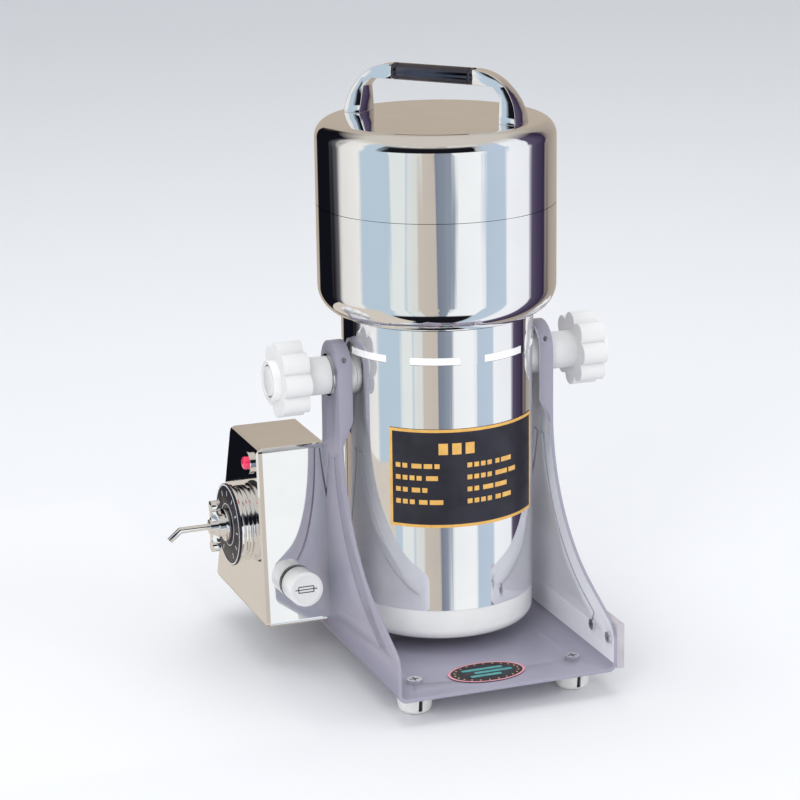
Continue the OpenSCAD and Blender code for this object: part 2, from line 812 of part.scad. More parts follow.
// Cross-section sectors in which the field coils sit.
module coil_sectors(gap) {
    for (a = [0, 180]) rotate([0, 0, a - winding_arc / 2]) difference() {
        intersection() {
            circle(r = winding_out + gap);
            polygon([[0, 0], 90 * [cos(-gap), sin(-gap)], 90 * [cos(winding_arc / 2), sin(winding_arc / 2)],
                     90 * [cos(winding_arc + gap), sin(winding_arc + gap)]]);
        }
        circle(r = winding_in - gap);
    }
}

module stator_core() {
    color(steel_c) translate([0, 0, core_low]) linear_extrude(core_h) difference() {
        intersection() { circle(r = seat_r); square([2 * seat_r, 2 * seat_r - 8], center = true); }
        circle(r = stator_bore);
        coil_sectors(0.2);
    }
}

module stator_windings() {
    color(copper_c) translate([0, 0, core_low - winding_over])
        linear_extrude(core_h + 2 * winding_over) coil_sectors(0);
}

// Bearing bracket: a spoked plate with a hub around the bearing.
module bearing_bracket(z, posts) {
    difference() {
        union() {
            translate([0, 0, z]) cylinder(r = seat_r, h = plate_t);
            translate([0, 0, z - 5]) cylinder(r = bearing_r + 3, h = plate_t + 5);
        }
        translate([0, 0, z - 4]) cylinder(r = bearing_r, h = bearing_t + 2);
        translate([0, 0, z - 6]) cylinder(r = bearing_r - 3, h = 20);
        for (a = [0:60:300]) rotate([0, 0, a]) translate([vent_at, 0, z - 1])
            cylinder(r = vent_r, h = plate_t + 2);
        if (posts) at_cap_screws() translate([0, 0, z - 1]) cylinder(r = cap_screw_d / 2, h = plate_t + 2);
    }
}

module upper_bracket() {
    color(alu_c) bearing_bracket(upper_plate_z, false);
}

module lower_bracket() {
    color(alu_c) bearing_bracket(lower_plate_z, true);
}

module bearings() {
    color(steel_c) for (z = [upper_plate_z, lower_plate_z]) translate([0, 0, z - 4])
        ring(bearing_r, shaft_r + run_gap, bearing_t);
}

module shaft_seal() {
    color(black_c) translate([0, 0, bowl_z - 3]) difference() {
        union() {
            cylinder(r = seal_r + 3, h = 3);
            cylinder(r = seal_r, h = shell_t + 3.5);
        }
        translate([0, 0, -1]) cylinder(r = shaft_r + run_gap, h = 10);
    }
}

brush_w = 6;
brush_h = 8;

module brush_holders() {
    color([0.75, 0.6, 0.25]) both_sides() difference() {
        translate([commutator_r + 3, -brush_w / 2 - 2, lower_plate_z + plate_t])
            cube([26, brush_w + 4, brush_z + 6 - lower_plate_z - plate_t]);
        translate([commutator_r + 2, -brush_w / 2, brush_z - brush_h / 2]) cube([28, brush_w, brush_h]);
    }
}

module carbon_brushes() {
    color(dark_c) both_sides() translate([commutator_r + fit_gap, -brush_w / 2, brush_z - brush_h / 2])
        cube([20, brush_w, brush_h]);
}

// ---- rotor ----

module rotor_shaft() {
    color(steel_c) translate([0, 0, shaft_low]) cylinder(r = shaft_r, h = shaft_high - shaft_low);
}

module armature_core() {
    color(steel_c) translate([0, 0, core_low]) ring(armature_r, shaft_r, core_h);
}

module armature_windings() {
    end_h = 12;
    color(copper_c) for (z = [core_low - end_h, core_low + core_h])
        translate([0, 0, z]) ring(24, shaft_r + 3, end_h);
}

module commutator() {
    color(copper_c) translate([0, 0, commutator_z]) difference() {
        ring(commutator_r, shaft_r, 14);
        for (a = [0:30:330]) rotate([0, 0, a]) translate([commutator_r - 1, -0.3, -1]) cube([3, 0.6, 16]);
    }
}

module cooling_fan() {
    color(dark_c) translate([0, 0, fan_z]) {
        ring(fan_r, shaft_r, 1.5);
        ring(10, shaft_r, fan_h);
        for (a = [0:36:324]) rotate([0, 0, a]) translate([14, -0.8, 0]) cube([fan_r - 15, 1.6, fan_h]);
    }
}

module hammer_bar() {
    color(steel_c) translate([0, 0, hammer_z]) difference() {
        union() {
            translate([-hammer_l / 2, -bar_w / 2, 0]) cube([hammer_l, bar_w, hammer_t]);
            for (s = [-1, 1]) translate([s * (hammer_l - hammer_head) / 2 - hammer_head / 2, -bar_w / 2, 0])
                cube([hammer_head, bar_w, hammer_head]);
            translate([0, 0, -5]) cylinder(r = 12, h = 5 + hammer_t);
        }
        translate([0, 0, -6]) cylinder(r = shaft_r, h = 20);
    }
}

module blade_spacer() {
    color(steel_c) translate([0, 0, hammer_z + hammer_t]) ring(9, shaft_r, blade_z - hammer_z - hammer_t);
}

module cutting_blade() {
    color(steel_c) translate([0, 0, blade_z]) rotate([0, 0, 70]) linear_extrude(blade_t) difference() {
        union() {
            circle(r = 13);
            for (a = [0, 180]) rotate(a) polygon([[-4, -9], [blade_l / 2 - 12, -9], [blade_l / 2, -2],
                                                  [blade_l / 2 - 3, 6], [-4, 8]]);
        }
        circle(r = shaft_r);
    }
}

module blade_nut() {
    color(steel_c) translate([0, 0, nut_z]) difference() {
        union() {
            cylinder(r = 12, h = 1.6);
            cylinder(r = 9.2, h = nut_h, $fn = 6);
        }
        translate([0, 0, -1]) cylinder(r = shaft_r, h = nut_h + 2);
    }
}

// ---- lid ----

module lid_gasket() {
    color([0.85, 0.85, 0.82]) translate([0, 0, gasket_z])
        ring(spigot_r - 0.1, spigot_r - spigot_t - 1.3, gasket_t);
}

module lid_shell() {
    in_r = chamber_r - shell_t;
    ledge_z = gasket_z + gasket_t;
    low_z = seam_z + fit_gap;
    ledge_w = 4;
    color(chrome_c) difference() {
        rotate_extrude() polygon(concat(
            [[chamber_r, low_z]],
            arc([chamber_r - lid_corner_r, lid_z - lid_corner_r], lid_corner_r, 0, 90, 12),
            [[0, lid_z], [0, lid_z - shell_t]],
            arc([chamber_r - lid_corner_r, lid_z - lid_corner_r], lid_corner_r - shell_t, 90, 0, 12),
            [[in_r, ledge_z + 3], [in_r - ledge_w, ledge_z + 3], [in_r - ledge_w, ledge_z],
             [in_r, ledge_z], [in_r, low_z]]
        ));
        at_handle_screws() translate([0, 0, lid_z - shell_t - 1])
            cylinder(r = handle_screw[0] / 2 + screw_gap, h = shell_t + 2);
    }
}

module at_handle() {
    rotate([0, 0, handle_turn]) children();
}

module at_handle_screws() {
    at_handle() for (s = [-1, 1]) translate([s * (leg_in + leg_w / 2), 0, 0]) children();
}

// Side view of one leg, distances from the mill's axis and heights above the lid.
module leg_profile() {
    polygon(concat(
        [[leg_in, 0], [leg_out, 0]],
        arc([leg_out - leg_arc_r, 0], leg_arc_r, 4, 88, 14),
        [[grip_half, grip_rise + bar_r], [grip_half, grip_rise - bar_r],
         [leg_in - 6, grip_rise - bar_r], [leg_in - 1, grip_rise - bar_r - 5]]
    ));
}

// Front view of one leg: broad at the foot, bar thickness at the top.
module leg_spread() {
    polygon([[-leg_depth / 2, 0], [leg_depth / 2, 0], [leg_depth / 2 - 1, 5], [bar_r, grip_rise - bar_r],
             [bar_r, grip_rise + bar_r + 1], [-bar_r, grip_rise + bar_r + 1], [-bar_r, grip_rise - bar_r],
             [1 - leg_depth / 2, 5]]);
}

module handle_legs() {
    color(chrome_c) at_handle() both_sides() translate([0, 0, lid_z]) difference() {
        intersection() {
            translate([0, leg_depth, 0]) rotate([90, 0, 0]) linear_extrude(2 * leg_depth) leg_profile();
            rotate([90, 0, 90]) linear_extrude(2 * leg_out) leg_spread();
        }
        translate([leg_in + leg_w / 2, 0, -1]) cylinder(r = handle_screw[0] / 2, h = handle_screw[1]);
    }
}

module handle_grip() {
    color(dark_c) at_handle() translate([0, 0, grip_z]) rod_x(grip_d / 2, -grip_half, grip_half);
}

module handle_screws() {
    color(steel_c) at_handle_screws() translate([0, 0, lid_z - shell_t]) mirror([0, 0, 1])
        pan_screw(handle_screw);
}

// ---- knobs ----

module clamp_washer() {
    at_pivot() difference() {
        rod_x(boss_d / 2, washer_x, washer_x + washer_t);
        rod_x(stud_d / 2 + fit_gap, 0, 2 * arm_x);
    }
}

module clamp_stud() {
    at_pivot() rod_x(stud_d / 2, stud_in, knob_x + stem_l + stud_in_head);
}

// Star knob on the +X side: stem, lobed head and a low end cap.
module star_knob() {
    head_x = knob_x + stem_l;
    lobe_r = knob_d * 0.125;
    knob_cap_r = knob_d * 0.27;
    at_pivot() difference() {
        union() {
            rod_x(stem_d / 2, knob_x, head_x + eps);
            along_x(head_x, head_x + knob_t) {
                circle(r = knob_d / 2 - lobe_r * 0.8);
                for (i = [0:knob_lobes - 1]) rotate(i * 360 / knob_lobes)
                    translate([knob_d / 2 - lobe_r, 0]) circle(r = lobe_r);
            }
            rod_x(knob_cap_r, head_x + knob_t - eps, head_x + knob_t + knob_cap_t);
        }
        rod_x(stud_d / 2, knob_x - 1, knob_x + stem_l + stud_in_head);
    }
}

module right_washer() {
    color(steel_c) clamp_washer();
}

module right_stud() {
    color(steel_c) clamp_stud();
}

module right_knob() {
    color(white_c) star_knob();
}

module left_washer() {
    color(steel_c) mirror([1, 0, 0]) clamp_washer();
}

module left_stud() {
    color(steel_c) mirror([1, 0, 0]) clamp_stud();
}

module left_knob() {
    color(white_c) mirror([1, 0, 0]) star_knob();
}

// ---- output ----

stand_frame();
rubber_feet();
foot_screws();
base_badge();
side_pad();
side_pad_screws();
pivot_bushes();
box_back_plate();
box_cover();
box_cover_screws();
box_mount_screws();
wire_grommet();
cable_gland();
timer_body();
timer_drum();
timer_dial();
timer_knob();
lamp_bezel();
lamp_lens();
fuse_holder();
fuse_tube();
fuse_cap();
chamber_bowl();
neck_collar();
motor_housing();
pivot_bosses();
label_plate();
bottom_cap();
cap_screws();
motor_lead_gland();
air_deflector();
stator_core();
stator_windings();
upper_bracket();
lower_bracket();
bearings();
shaft_seal();
brush_holders();
carbon_brushes();
rotor_shaft();
armature_core();
armature_windings();
commutator();
cooling_fan();
hammer_bar();
blade_spacer();
cutting_blade();
blade_nut();
lid_gasket();
lid_shell();
handle_legs();
handle_grip();
handle_screws();
left_washer();
left_stud();
left_knob();
right_washer();
right_stud();
right_knob();
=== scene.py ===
import json
import math
import bpy
from mathutils import Matrix, Vector


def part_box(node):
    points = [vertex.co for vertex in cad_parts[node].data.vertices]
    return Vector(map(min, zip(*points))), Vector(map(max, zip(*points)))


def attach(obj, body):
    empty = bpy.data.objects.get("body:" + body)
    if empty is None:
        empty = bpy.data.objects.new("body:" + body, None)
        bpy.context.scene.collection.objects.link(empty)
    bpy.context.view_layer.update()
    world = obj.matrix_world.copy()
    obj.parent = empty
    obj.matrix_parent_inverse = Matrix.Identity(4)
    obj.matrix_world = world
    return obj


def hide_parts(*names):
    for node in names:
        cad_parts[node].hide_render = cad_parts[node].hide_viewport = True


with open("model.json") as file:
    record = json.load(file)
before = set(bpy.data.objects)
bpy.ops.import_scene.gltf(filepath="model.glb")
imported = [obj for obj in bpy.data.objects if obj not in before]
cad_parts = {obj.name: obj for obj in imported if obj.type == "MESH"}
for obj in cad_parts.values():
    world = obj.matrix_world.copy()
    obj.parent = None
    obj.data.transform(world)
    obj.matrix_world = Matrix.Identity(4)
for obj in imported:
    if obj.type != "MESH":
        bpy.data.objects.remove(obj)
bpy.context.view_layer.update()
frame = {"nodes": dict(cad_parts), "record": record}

nodes = frame["nodes"]
joints = {j["name"]: j for j in frame["record"]["behaviour"]["joints"]}
mounts = {m["name"]: m for m in frame["record"]["mounts"]}
scene = bpy.context.scene
mm = 0.001
print("frame loaded:", len(nodes), "nodes")


def middle(node):
    low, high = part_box(node)
    return (low + high) / 2


cameraView = {
    "place": (-0.5251, -1.3686, 0.5648),
    "azimuth": -20.14,
    "elevation": 15.74,
    "roll": -0.83,
    "lens": 119.77,
    "sensor": 36.0,
    "clip": (0.05, 50),
}


def makeCamera(v):
    data = bpy.data.cameras.new("camera")
    cam = bpy.data.objects.new("camera", data)
    scene.collection.objects.link(cam)
    az, el, roll = (math.radians(v[k]) for k in ("azimuth", "elevation", "roll"))
    backwards = Vector((math.sin(az) * math.cos(el), -math.cos(az) * math.cos(el), math.sin(el)))
    right = Vector((math.cos(az), math.sin(az), 0))
    up = backwards.cross(right)
    rolledRight = math.cos(roll) * right + math.sin(roll) * up
    rolledUp = -math.sin(roll) * right + math.cos(roll) * up
    turn = Matrix((rolledRight, rolledUp, backwards)).transposed().to_4x4()
    cam.matrix_world = Matrix.Translation(v["place"]) @ turn
    data.lens = v["lens"]
    data.sensor_width = v["sensor"]
    data.clip_start, data.clip_end = v["clip"]
    scene.camera = cam


makeCamera(cameraView)
print("camera placed")


def newGroup(name, inputs, outputs):
    g = bpy.data.node_groups.new(name, "ShaderNodeTree")
    for label, kind, value in inputs:
        s = g.interface.new_socket(label, in_out="INPUT", socket_type=kind)
        s.default_value = value
    for label, kind in outputs:
        g.interface.new_socket(label, in_out="OUTPUT", socket_type=kind)
    return g, g.nodes.new("NodeGroupInput"), g.nodes.new("NodeGroupOutput")


def noiseNode(tree, scale, detail=3.0, rough=0.5):
    n = tree.nodes.new("ShaderNodeTexNoise")
    n.inputs["Scale"].default_value = scale
    n.inputs["Detail"].default_value = detail
    n.inputs["Roughness"].default_value = rough
    return n


def rangeNode(tree, low, high, toLow, toHigh):
    n = tree.nodes.new("ShaderNodeMapRange")
    n.inputs["From Min"].default_value = low
    n.inputs["From Max"].default_value = high
    n.inputs["To Min"].default_value = toLow
    n.inputs["To Max"].default_value = toHigh
    return n


def makeSmudges():
    g, gin, gout = newGroup(
        "smudges",
        [("Clean", "NodeSocketFloat", 0.03), ("Smeared", "NodeSocketFloat", 0.12),
         ("Size", "NodeSocketFloat", 30.0)],
        [("Roughness", "NodeSocketFloat")])
    place = g.nodes.new("ShaderNodeTexCoord")
    cloud = noiseNode(g, 30.0, 5.0, 0.6)
    spread = rangeNode(g, 0.48, 0.72, 0.0, 1.0)
    mix = g.nodes.new("ShaderNodeMix")
    link = g.links.new
    link(place.outputs["Object"], cloud.inputs["Vector"])
    link(gin.outputs["Size"], cloud.inputs["Scale"])
    link(cloud.outputs["Fac"], spread.inputs["Value"])
    link(spread.outputs["Result"], mix.inputs["Factor"])
    link(gin.outputs["Clean"], mix.inputs["A"])
    link(gin.outputs["Smeared"], mix.inputs["B"])
    link(mix.outputs["Result"], gout.inputs["Roughness"])
    return g


def makeTint():
    g, gin, gout = newGroup(
        "tint",
        [("Light", "NodeSocketColor", (1, 1, 1, 1)), ("Dark", "NodeSocketColor", (0.9, 0.9, 0.9, 1)),
         ("Size", "NodeSocketFloat", 40.0)],
        [("Color", "NodeSocketColor")])
    place = g.nodes.new("ShaderNodeTexCoord")
    cloud = noiseNode(g, 40.0, 4.0, 0.55)
    spread = rangeNode(g, 0.35, 0.65, 0.0, 1.0)
    mix = g.nodes.new("ShaderNodeMix")
    mix.data_type = "RGBA"
    link = g.links.new
    link(place.outputs["Object"], cloud.inputs["Vector"])
    link(gin.outputs["Size"], cloud.inputs["Scale"])
    link(cloud.outputs["Fac"], spread.inputs["Value"])
    link(spread.outputs["Result"], mix.inputs["Factor"])
    link(gin.outputs["Light"], mix.inputs[6])
    link(gin.outputs["Dark"], mix.inputs[7])
    link(mix.outputs[2], gout.inputs["Color"])
    return g


smudges = makeSmudges()
tint = makeTint()


def placeGroup(tree, group, **values):
    n = tree.nodes.new("ShaderNodeGroup")
    n.node_tree = group
    for k, v in values.items():
        n.inputs[k].default_value = v
    return n


def newMaterial(name, **values):
    m = bpy.data.materials.new(name)
    m.use_nodes = True
    shader = m.node_tree.nodes["Principled BSDF"]
    for k, v in values.items():
        shader.inputs[k.replace("_", " ")].default_value = v
    return m, m.node_tree, shader


grainStrength = 0.6
coatRoughness = 0.12


def addGrain(tree, shader, scale, depth):
    place = tree.nodes.new("ShaderNodeTexCoord")
    cloud = noiseNode(tree, scale)
    bump = tree.nodes.new("ShaderNodeBump")
    bump.inputs["Strength"].default_value = grainStrength
    bump.inputs["Distance"].default_value = depth
    tree.links.new(place.outputs["Object"], cloud.inputs["Vector"])
    tree.links.new(cloud.outputs["Fac"], bump.inputs["Height"])
    tree.links.new(bump.outputs["Normal"], shader.inputs["Normal"])


def makeFinish(name, v):
    m, tree, shader = newMaterial(name, Metallic=v["metal"])
    colour = placeGroup(tree, tint, Light=(*v["light"], 1), Dark=(*v["dark"], 1), Size=v["size"])
    gloss = placeGroup(tree, smudges, Clean=v["gloss"][0], Smeared=v["gloss"][1], Size=v["size"])
    tree.links.new(colour.outputs["Color"], shader.inputs["Base Color"])
    tree.links.new(gloss.outputs["Roughness"], shader.inputs["Roughness"])
    if "grain" in v:
        addGrain(tree, shader, *v["grain"])
    if "coat" in v:
        shader.inputs["Coat Weight"].default_value = v["coat"]
        shader.inputs["Coat Roughness"].default_value = coatRoughness
    if "glow" in v:
        shader.inputs["Emission Color"].default_value = (*v["light"], 1)
        shader.inputs["Emission Strength"].default_value = v["glow"]
    if "clear" in v:
        shader.inputs["Transmission Weight"].default_value = v["clear"]
    return m


def finish(light, dark, metal, gloss, size, **more):
    return {"light": light, "dark": dark, "metal": metal, "gloss": gloss, "size": size, **more}


finishes = {  # light and dark colour, metallic, clean and smeared roughness, pattern size per metre
    "chrome": finish((0.94, 0.94, 0.95), (0.90, 0.90, 0.92), 1.0, (0.025, 0.06), 25.0),
    "darkChrome": finish((0.10, 0.10, 0.13), (0.07, 0.07, 0.09), 1.0, (0.05, 0.12), 60.0),
    "enamel": finish((0.365, 0.355, 0.445), (0.355, 0.345, 0.433), 0.0, (0.30, 0.34), 60.0,
                     grain=(900.0, 0.00003), coat=0.2),
    # a paler copy of the enamel: painted light for the arms' inner faces
    "paintedLightEnamel": finish((0.88, 0.89, 0.94), (0.86, 0.87, 0.92), 0.0, (0.30, 0.34), 60.0, coat=0.2),
    "whitePlastic": finish((0.93, 0.93, 0.92), (0.89, 0.89, 0.88), 0.0, (0.15, 0.26), 60.0,
                           grain=(900.0, 0.00004)),
    "whiteRubber": finish((0.92, 0.92, 0.90), (0.86, 0.86, 0.84), 0.0, (0.42, 0.60), 80.0,
                          grain=(700.0, 0.0001)),
    # white that glows: painted light for the strips in the collar's notches
    "paintedLightNotchWhite": finish((0.95, 0.95, 0.95), (0.90, 0.90, 0.90), 0.3, (0.25, 0.35), 120.0, glow=0.25),
    "brightSteel": finish((0.80, 0.81, 0.83), (0.68, 0.69, 0.71), 1.0, (0.14, 0.28), 200.0),
    # black plastic, also used as painted shade in the knob caps' sunk rings
    "blackPlasticAndGrooveShade": finish((0.025, 0.025, 0.028), (0.016, 0.016, 0.018), 0.0, (0.28, 0.45), 90.0,
                           grain=(800.0, 0.00006)),
    # black rubber, also used as painted shade on the feet's slot walls
    "blackRubberAndSlotShade": finish((0.02, 0.02, 0.02), (0.013, 0.013, 0.013), 0.0, (0.55, 0.75), 90.0,
                          grain=(600.0, 0.0001)),
    "greyPlastic": finish((0.56, 0.53, 0.57), (0.50, 0.47, 0.51), 0.0, (0.35, 0.50), 90.0,
                          grain=(700.0, 0.00006)),
    "copper": finish((0.80, 0.42, 0.22), (0.62, 0.30, 0.14), 1.0, (0.25, 0.42), 200.0,
                     grain=(500.0, 0.0003)),
    "brass": finish((0.80, 0.62, 0.26), (0.68, 0.50, 0.20), 1.0, (0.22, 0.36), 120.0),
    "coreSteel": finish((0.34, 0.34, 0.36), (0.24, 0.24, 0.26), 0.9, (0.38, 0.55), 120.0,
                        grain=(500.0, 0.0002)),
    "castAluminium": finish((0.70, 0.71, 0.73), (0.60, 0.61, 0.63), 1.0, (0.40, 0.58), 120.0,
                            grain=(450.0, 0.0003)),
    "carbon": finish((0.05, 0.05, 0.05), (0.03, 0.03, 0.03), 0.0, (0.60, 0.80), 200.0),
    "bladeSteel": finish((0.66, 0.67, 0.69), (0.55, 0.56, 0.58), 1.0, (0.20, 0.34), 150.0),
    "silicone": finish((0.80, 0.80, 0.77), (0.74, 0.74, 0.71), 0.0, (0.40, 0.55), 80.0),
    "redLens": finish((0.85, 0.03, 0.12), (0.62, 0.01, 0.07), 0.0, (0.05, 0.12), 200.0,
                      coat=1.0, glow=0.25),
    "fuseGlass": finish((0.90, 0.94, 0.92), (0.86, 0.90, 0.88), 0.0, (0.03, 0.08), 100.0, clear=0.85),
    "printBlack": finish((0.020, 0.019, 0.034), (0.013, 0.012, 0.022), 0.0, (0.40, 0.55), 80.0),
    "printGold": finish((0.86, 0.50, 0.13), (0.76, 0.42, 0.10), 0.0, (0.28, 0.40), 200.0),
    "printWhite": finish((0.85, 0.85, 0.86), (0.76, 0.76, 0.78), 0.0, (0.30, 0.40), 200.0),
    "printPink": finish((0.86, 0.38, 0.46), (0.78, 0.30, 0.38), 0.0, (0.30, 0.40), 200.0),
    "printTeal": finish((0.08, 0.42, 0.40), (0.05, 0.32, 0.32), 0.0, (0.30, 0.40), 200.0),
}
looks = {name: makeFinish(name, values) for name, values in finishes.items()}

slotLooks = {
    "badge": "printBlack", "black_plastic": "blackPlasticAndGrooveShade", "black_rubber": "blackRubberAndSlotShade",
    "blade_steel": "bladeSteel", "brass": "brass", "bright_steel": "brightSteel", "carbon": "carbon",
    "cast_aluminium": "castAluminium", "chrome": "chrome", "copper": "copper", "core_steel": "coreSteel",
    "dark_chrome": "darkChrome", "dial_black": "printBlack", "fuse_glass": "fuseGlass",
    "grey_plastic": "greyPlastic", "hammertone_paint": "enamel", "label_black": "printBlack",
    "red_lens": "redLens", "silicone": "silicone", "white_plastic": "whitePlastic",
    "white_rubber": "whiteRubber",
}

for part in frame["record"]["subparts"]:
    piece = nodes[part["node"]]
    piece.data.materials.clear()
    piece.data.materials.append(looks[slotLooks[part["material_slot"]]])
print("materials on all nodes")


mergeWithin = 0.002 * mm
flatWithin = 0.5  # degrees
upright = 0.9  # a face counts as facing up from this much of its normal
near = 0.1 * mm


def clearSelection():
    bpy.ops.object.select_all(action="DESELECT")


def selectOnly(piece):
    clearSelection()
    piece.select_set(True)
    bpy.context.view_layer.objects.active = piece


def applyPlace():
    bpy.ops.object.transform_apply(location=True, rotation=True, scale=True)


def editMode(kind="FACE"):
    bpy.ops.object.mode_set(mode="EDIT")
    bpy.ops.mesh.select_mode(type=kind)


def objectMode():
    bpy.ops.object.mode_set(mode="OBJECT")


def selectFaces(piece, test):  # leaves the piece in edit mode
    editMode()
    bpy.ops.mesh.select_all(action="DESELECT")
    objectMode()
    for face in piece.data.polygons:
        face.select = test(face)
    editMode()


def addDrum(radius, low, high, sides=64, at=(0, 0)):  # upright cylinder between two heights
    clearSelection()
    bpy.ops.mesh.primitive_cylinder_add(vertices=sides, radius=radius, depth=high - low,
                                        location=(*at, (low + high) / 2))
    applyPlace()
    return bpy.context.active_object


def addBlock(low, high):
    clearSelection()
    middlePoint = [(a + b) / 2 for a, b in zip(low, high)]
    bpy.ops.mesh.primitive_cube_add(size=1, location=middlePoint)
    block = bpy.context.active_object
    block.scale = [b - a for a, b in zip(low, high)]
    applyPlace()
    return block


def applyModifier(piece, kind, **values):
    bpy.context.view_layer.objects.active = piece
    modifier = piece.modifiers.new("shape", kind)
    for k, v in values.items():
        setattr(modifier, k, v)
    bpy.ops.object.modifier_apply(modifier="shape")


def cutOrJoin(piece, tool, operation):
    applyModifier(piece, "BOOLEAN", operation=operation, solver="EXACT", object=tool)
    bpy.data.objects.remove(tool)


def softEdges(piece, width, steps=3, angle=35):
    applyModifier(piece, "BEVEL", width=width, segments=steps, limit_method="ANGLE",
                  angle_limit=math.radians(angle), use_clamp_overlap=True)


def joinPieces(pieces):
    clearSelection()
    for piece in pieces:
        piece.select_set(True)
    bpy.context.view_layer.objects.active = pieces[0]
    bpy.ops.object.join()
    return bpy.context.active_object


def turnTo(piece, axis, place):  # a piece made along +Z is turned to an axis and moved
    selectOnly(piece)
    piece.rotation_mode = "QUATERNION"
    piece.rotation_quaternion = Vector(axis).to_track_quat("Z", "Y")
    piece.location = place
    applyPlace()


def sinkFaces(thickness, depth):  # insets the selected faces and moves them along z
    bpy.ops.mesh.inset(thickness=thickness)
    bpy.ops.mesh.extrude_region_move(TRANSFORM_OT_translate={"value": (0, 0, -depth)})


def mergeAndTurnOut(piece):
    selectOnly(piece)
    editMode()
    bpy.ops.mesh.select_all(action="SELECT")
    bpy.ops.mesh.remove_doubles(threshold=mergeWithin)
    bpy.ops.mesh.normals_make_consistent(inside=False)
    objectMode()


def settle(piece, name, body, look, stands=(), smooth=35):
    selectOnly(piece)
    bpy.ops.object.shade_smooth_by_angle(angle=math.radians(smooth))
    piece.name = name
    if not piece.data.materials:
        piece.data.materials.append(looks[look])
    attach(piece, body)
    if stands:
        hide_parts(*stands)
    return piece


softened = {  # CAD nodes whose sharp edges are eased: edge width, body, slot
    "handle_legs": (0.9 * mm, "lid", "chrome"),
    "side_pad": (0.7 * mm, "stand", "grey_plastic"),
    "timer_knob": (0.5 * mm, "timer_knob", "chrome"),
    "timer_drum": (0.4 * mm, "stand", "chrome"),
    "timer_dial": (0.3 * mm, "stand", "dial_black"),
    "base_badge": (0.25 * mm, "stand", "badge"),
    "pivot_bosses": (0.6 * mm, "mill", "white_plastic"),
}


def easeNode(node, width, body, slot):
    piece = bpy.data.objects.new(node + "_eased", nodes[node].data.copy())
    scene.collection.objects.link(piece)
    selectOnly(piece)
    editMode()
    bpy.ops.mesh.select_all(action="SELECT")
    bpy.ops.mesh.remove_doubles(threshold=mergeWithin)
    bpy.ops.mesh.dissolve_limited(angle_limit=math.radians(flatWithin))
    objectMode()
    softEdges(piece, width, 2)
    return settle(piece, node + "_eased", body, slotLooks[slot], [node])


for node, values in softened.items():
    easeNode(node, *values)

standShape = {"edge": 0.5 * mm, "armsAbove": 8 * mm, "facing": 0.5}


def makeStand(v):
    stand = easeNode("stand_frame", v["edge"], "stand", "hammertone_paint")
    stand.data.materials.append(looks["paintedLightEnamel"])
    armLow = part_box("base_badge")[1].z + v["armsAbove"]
    for face in stand.data.polygons:  # the arms' inner faces get a paler copy of the paint: painted light on the faces turned inwards
        inward = face.normal.x * face.center.x < 0 and abs(face.normal.x) > v["facing"]
        if inward and face.center.z > armLow:
            face.material_index = len(stand.data.materials) - 1


makeStand(standShape)
print("edges eased")


knobShape = {
    "lobes": 8,
    "lobeSize": 0.148,  # shares of the knob's diameter
    "waistSize": 0.37,
    "capSize": 0.27,
    "capHigh": 4.5 * mm,
    "capRim": 2.2 * mm,
    "ringWide": 1.0 * mm,
    "ringDeep": 0.8 * mm,
    "headThick": 15 * mm,
    "stem": 10.75 * mm,
    "overlap": 1 * mm,
    "headRound": 1.5 * mm,
    "stemRound": 0.5 * mm,
    "capRound": 0.4 * mm,
}


def makeStarKnob(side, axis, v):
    low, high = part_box(side + "_knob")
    radius = (high.z - low.z) / 2
    length = high.x - low.x
    headHigh = length - v["capHigh"]
    headLow = headHigh - v["headThick"]
    star = addDrum(2 * radius * v["waistSize"], headLow, headHigh)
    lobe = 2 * radius * v["lobeSize"]
    reach = radius - lobe
    for i in range(v["lobes"]):
        turn = 2 * math.pi * i / v["lobes"]
        place = (reach * math.cos(turn), reach * math.sin(turn))
        cutOrJoin(star, addDrum(lobe, headLow, headHigh, 32, place), "UNION")
    softEdges(star, v["headRound"], 4)
    stem = addDrum(v["stem"], 0, headLow + v["overlap"])
    softEdges(stem, v["stemRound"])
    cap = addDrum(2 * radius * v["capSize"], headHigh - v["overlap"], length)
    selectFaces(cap, lambda face: face.normal.z > upright)
    sinkFaces(v["capRim"], v["ringDeep"])
    sinkFaces(v["ringWide"], -v["ringDeep"])
    objectMode()
    cap.data.materials.append(looks["whitePlastic"])
    cap.data.materials.append(looks["blackPlasticAndGrooveShade"])
    for face in cap.data.polygons:  # the sunk ring gets the black finish: painted shade in the groove
        if face.normal.z > upright and abs(face.center.z - length + v["ringDeep"]) < near:
            face.material_index = 1
    softEdges(cap, v["capRound"])
    knob = joinPieces([cap, star, stem])
    start = low.x if axis > 0 else high.x
    turnTo(knob, (axis, 0, 0), (start, (low.y + high.y) / 2, (low.z + high.z) / 2))
    settle(knob, side + "StarKnob", side + "_knob", "whitePlastic", [side + "_knob"])


makeStarKnob("left", -1, knobShape)
makeStarKnob("right", 1, knobShape)


shellShape = {
    "bowlBend": 16 * mm,
    "lidBend": 10 * mm,
    "steps": 14,
    "thick": 1.5 * mm,
    "turns": 160,
    "seam": 0.3 * mm,
    "spigotIn": 2.2 * mm,
    "spigotDeep": 14 * mm,
    "spigotRoot": 17 * mm,
    "sealGap": 0.5 * mm,
}


def bendPoints(centre, radius, start, end, steps):
    turns = [math.radians(start + (end - start) * i / steps) for i in range(steps + 1)]
    return [(centre[0] + radius * math.cos(t), centre[1] + radius * math.sin(t)) for t in turns]


